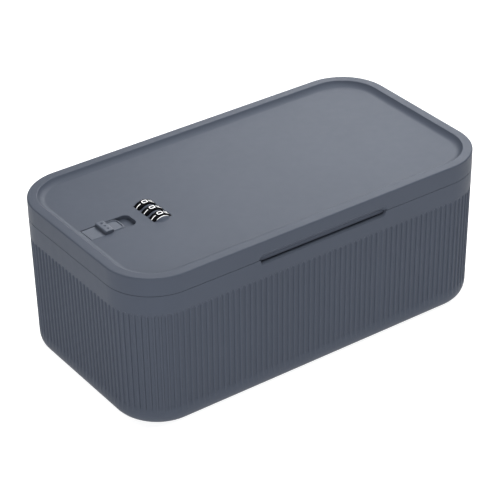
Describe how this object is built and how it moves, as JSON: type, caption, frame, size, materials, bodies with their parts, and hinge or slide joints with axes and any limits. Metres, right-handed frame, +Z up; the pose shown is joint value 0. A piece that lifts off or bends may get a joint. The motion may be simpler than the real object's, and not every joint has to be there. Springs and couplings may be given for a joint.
{
  "type": "combination lock storage box",
  "caption": "Ribbed rectangular storage box with rounded corners, a hinged lid with a raised rim, a number-wheel lock, a slide latch and side finger slots.",
  "frame": {"origin": "centre of the flat underside, between the side walls, on the surface the box stands on", "axes": "+X along the box from the lock end to the hinge end, +Y to the long side behind, +Z up"},
  "size_m": [0.3086, 0.1624, 0.1204],
  "materials": {
    "shell_plastic": "slate grey moulded plastic, fine satin texture",
    "inner_plastic": "dark grey moulded plastic, satin",
    "wheel_plastic": "black moulded plastic, satin",
    "digit_paint": "white printed numbers",
    "cam_plastic": "natural acetal, satin",
    "plated_steel": "zinc-plated steel",
    "spring_steel": "spring steel, bright"
  },
  "bodies": {
    "bin": {"bin_shell": "shell_plastic", "strike_plate": "plated_steel", "strike_screws": "plated_steel", "hinge_pins": "plated_steel"},
    "lid": {"lid_shell": "shell_plastic", "lock_housing": "inner_plastic", "housing_screws": "plated_steel", "dial_detent_spring": "spring_steel", "latch_detent_spring": "spring_steel", "reset_spring": "spring_steel"},
    "slider": {"latch_slider": "shell_plastic", "latch_bolt": "plated_steel", "bolt_screws": "plated_steel"},
    "reset_shaft": {"dial_axle": "plated_steel", "axle_clips": "spring_steel", "reset_button": "inner_plastic"},
    "dial_1": {"number_wheel_1": "wheel_plastic"},
    "dial_2": {"number_wheel_2": "wheel_plastic"},
    "dial_3": {"number_wheel_3": "wheel_plastic"},
    "cam_1": {"wheel_cam_1": "cam_plastic"},
    "cam_2": {"wheel_cam_2": "cam_plastic"},
    "cam_3": {"wheel_cam_3": "cam_plastic"}
  },
  "joints": [
    {"name": "lid_hinge", "type": "hinge", "parent": "bin", "child": "lid", "pos_m": [0.154, 0, 0.1065], "axis": [0, 1, 0], "range_deg": [0, 105]},
    {"name": "latch_slide", "type": "slide", "parent": "lid", "child": "slider", "axis": [1, 0, 0], "range_m": [0, 0.0085]},
    {"name": "dial_1_turn", "type": "hinge", "parent": "lid", "child": "dial_1", "pos_m": [-0.0842, -0.0093, 0.1112], "axis": [0, 1, 0], "continuous": true},
    {"name": "dial_2_turn", "type": "hinge", "parent": "lid", "child": "dial_2", "pos_m": [-0.0842, 0, 0.1112], "axis": [0, 1, 0], "continuous": true},
    {"name": "dial_3_turn", "type": "hinge", "parent": "lid", "child": "dial_3", "pos_m": [-0.0842, 0.0093, 0.1112], "axis": [0, 1, 0], "continuous": true},
    {"name": "code_reset", "type": "slide", "parent": "lid", "child": "reset_shaft", "axis": [0, -1, 0], "range_m": [0, 0.0011], "stiffness_N_per_m": 300, "springref_m": -0.001, "deforming": ["reset_spring"]},
    {"name": "cam_1_turn", "type": "hinge", "parent": "reset_shaft", "child": "cam_1", "pos_m": [-0.0842, -0.0131, 0.1112], "axis": [0, 1, 0], "continuous": true},
    {"name": "cam_2_turn", "type": "hinge", "parent": "reset_shaft", "child": "cam_2", "pos_m": [-0.0842, -0.0038, 0.1112], "axis": [0, 1, 0], "continuous": true},
    {"name": "cam_3_turn", "type": "hinge", "parent": "reset_shaft", "child": "cam_3", "pos_m": [-0.0842, 0.0055, 0.1112], "axis": [0, 1, 0], "continuous": true}
  ],
  "couplings": [
    {"joint": "cam_1_turn", "follows": "dial_1_turn", "ratio": 1},
    {"joint": "cam_2_turn", "follows": "dial_2_turn", "ratio": 1},
    {"joint": "cam_3_turn", "follows": "dial_3_turn", "ratio": 1}
  ]
}
